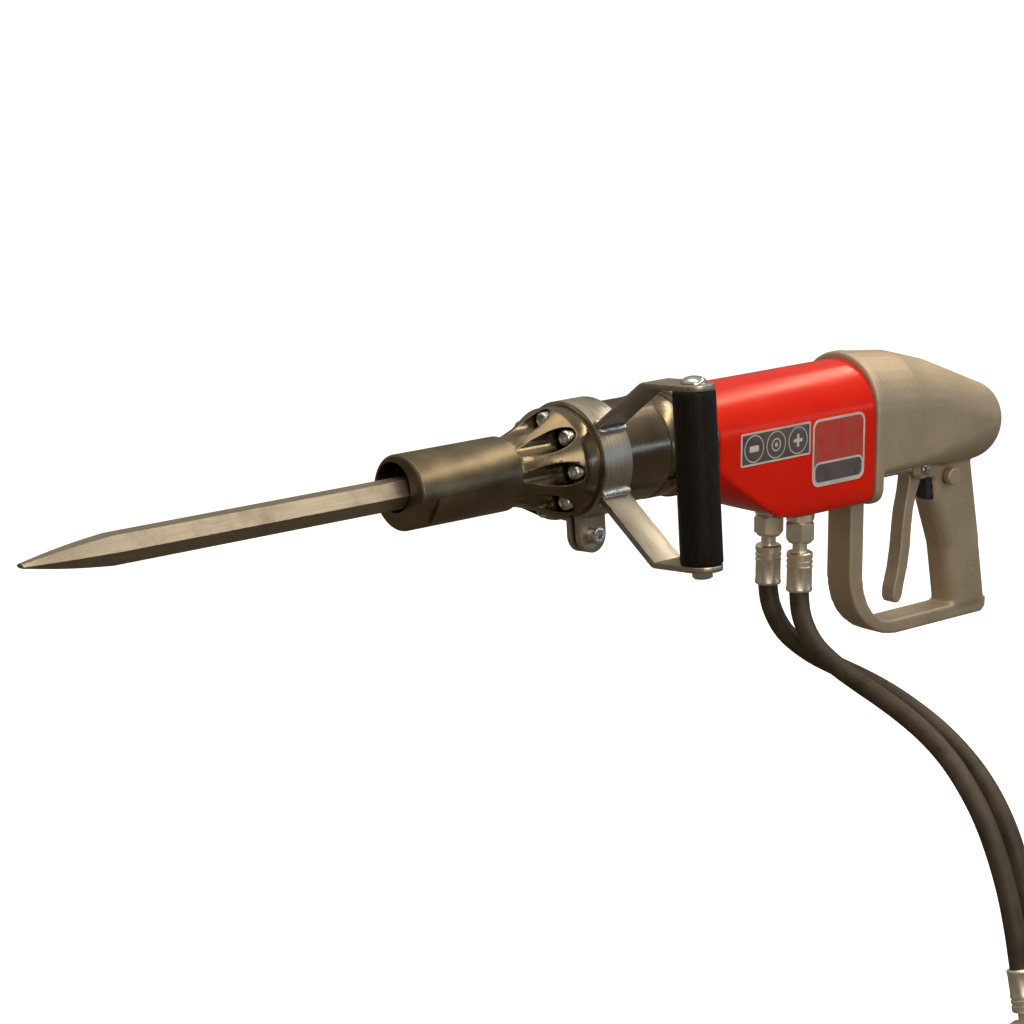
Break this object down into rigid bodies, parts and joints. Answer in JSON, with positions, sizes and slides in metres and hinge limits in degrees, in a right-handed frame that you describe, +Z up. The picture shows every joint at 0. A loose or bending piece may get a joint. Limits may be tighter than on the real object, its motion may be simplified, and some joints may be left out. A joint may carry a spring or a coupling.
{
  "type": "hydraulic breaker hammer",
  "caption": "Hand-held hydraulic breaker hammer with hex chisel, turning retainer, clamped side handle, trigger D-handle and two tail hoses with flat-face couplings.",
  "frame": {"origin": "centre of the rear hand grip, between the trigger and the back of the D-handle", "axes": "-X is where the chisel points, +X is the operator, -Y is the side handle's side, +Z is up; the tool axis runs along X, 140 mm above the origin"},
  "size_m": [1.0553, 0.3921, 0.5853],
  "materials": {
    "chisel": "forged, satin",
    "black_steel": "black oxide, satin",
    "zinc": "bright zinc",
    "bush_steel": "ground",
    "rubber": "matt",
    "ground_steel": "ground",
    "red_enamel": "gloss enamel",
    "cast_alu": "raw sand casting",
    "machined_alu": "machined",
    "plate": "satin plate",
    "weld": "bright weld bead",
    "grip_plastic": "matt",
    "stainless": "polished stainless",
    "fitting": "yellow zinc plating",
    "coupling": "zinc plating",
    "hose_rubber": "matt rubber cover",
    "decal_dark": "printed label",
    "decal_red": "printed label"
  },
  "bodies": {
    "hammer_body": {"retainer_ring": "ground_steel", "retainer_oring": "rubber", "chisel_bush": "bush_steel", "front_head": "black_steel", "head_screws": "zinc", "buffer_ring": "rubber", "cylinder": "black_steel", "rod_seal": "rubber", "lock_ring": "black_steel", "collar_ring": "black_steel", "valve_housing": "red_enamel", "accumulator_diaphragm": "rubber", "accumulator_cap": "machined_alu", "throttle_spring": "ground_steel", "valve_cover": "plate", "cover_screw": "zinc", "rear_handle": "cast_alu", "handle_screws": "zinc", "stop_pad": "rubber", "trigger_pin": "stainless", "trigger_clip": "zinc", "grip_pin": "cast_alu", "decal_strip": "decal_dark", "decal_badge": "decal_red", "port_adapters": "fitting", "swivel_nuts": "fitting", "hose_stems": "fitting", "hose_ferrules": "fitting", "hose_a": "hose_rubber", "hose_b": "hose_rubber", "end_ferrule_a": "fitting", "end_ferrule_b": "fitting", "coupler_male": "coupling", "coupler_female": "coupling"},
    "chisel": {"chisel": "chisel"},
    "retainer": {"retainer_sleeve": "black_steel"},
    "piston": {"piston": "ground_steel"},
    "valve_sleeve": {"valve_sleeve": "ground_steel"},
    "trigger": {"trigger": "cast_alu"},
    "throttle_spool": {"throttle_spool": "ground_steel"},
    "side_handle": {"clamp_band": "plate", "bracket_upper": "plate", "bracket_lower": "plate", "weld_beads": "weld", "clamp_screw": "zinc", "clamp_nut": "zinc", "side_grip": "grip_plastic", "grip_bolt": "stainless", "grip_nut": "stainless"},
    "coupler_sleeve": {"coupler_sleeve": "coupling"}
  },
  "joints": [
    {"name": "chisel_slide", "type": "slide", "parent": "hammer_body", "child": "chisel", "axis": [-1, 0, 0], "range_m": [0, 0.023]},
    {"name": "retainer_turn", "type": "hinge", "parent": "hammer_body", "child": "retainer", "pos_m": [-0.585, 0, 0.14], "axis": [-1, 0, 0], "range_deg": [0, 180]},
    {"name": "piston_slide", "type": "slide", "parent": "hammer_body", "child": "piston", "axis": [1, 0, 0], "range_m": [0, 0.03]},
    {"name": "valve_sleeve_slide", "type": "slide", "parent": "hammer_body", "child": "valve_sleeve", "axis": [1, 0, 0], "range_m": [-0.003, 0.006]},
    {"name": "trigger_pull", "type": "hinge", "parent": "hammer_body", "child": "trigger", "pos_m": [-0.068, 0, 0.074], "axis": [0, -1, 0], "range_deg": [0, 14], "stiffness_Nm_per_rad": 2, "springref_deg": -9.74},
    {"name": "throttle_slide", "type": "slide", "parent": "hammer_body", "child": "throttle_spool", "axis": [-1, 0, 0], "range_m": [0, 0.0049], "deforming": ["throttle_spring"]},
    {"name": "side_handle_turn", "type": "hinge", "parent": "hammer_body", "child": "side_handle", "pos_m": [-0.4755, 0, 0.14], "axis": [1, 0, 0], "continuous": true},
    {"name": "coupler_sleeve_pull", "type": "slide", "parent": "hammer_body", "child": "coupler_sleeve", "axis": [0.0312, 0.2498, 0.9678], "range_m": [0, 0.006], "stiffness_N_per_m": 2500, "springref_m": -0.004}
  ],
  "couplings": [
    {"joint": "throttle_slide", "follows": "trigger_pull", "m_per_rad": 0.02}
  ]
}
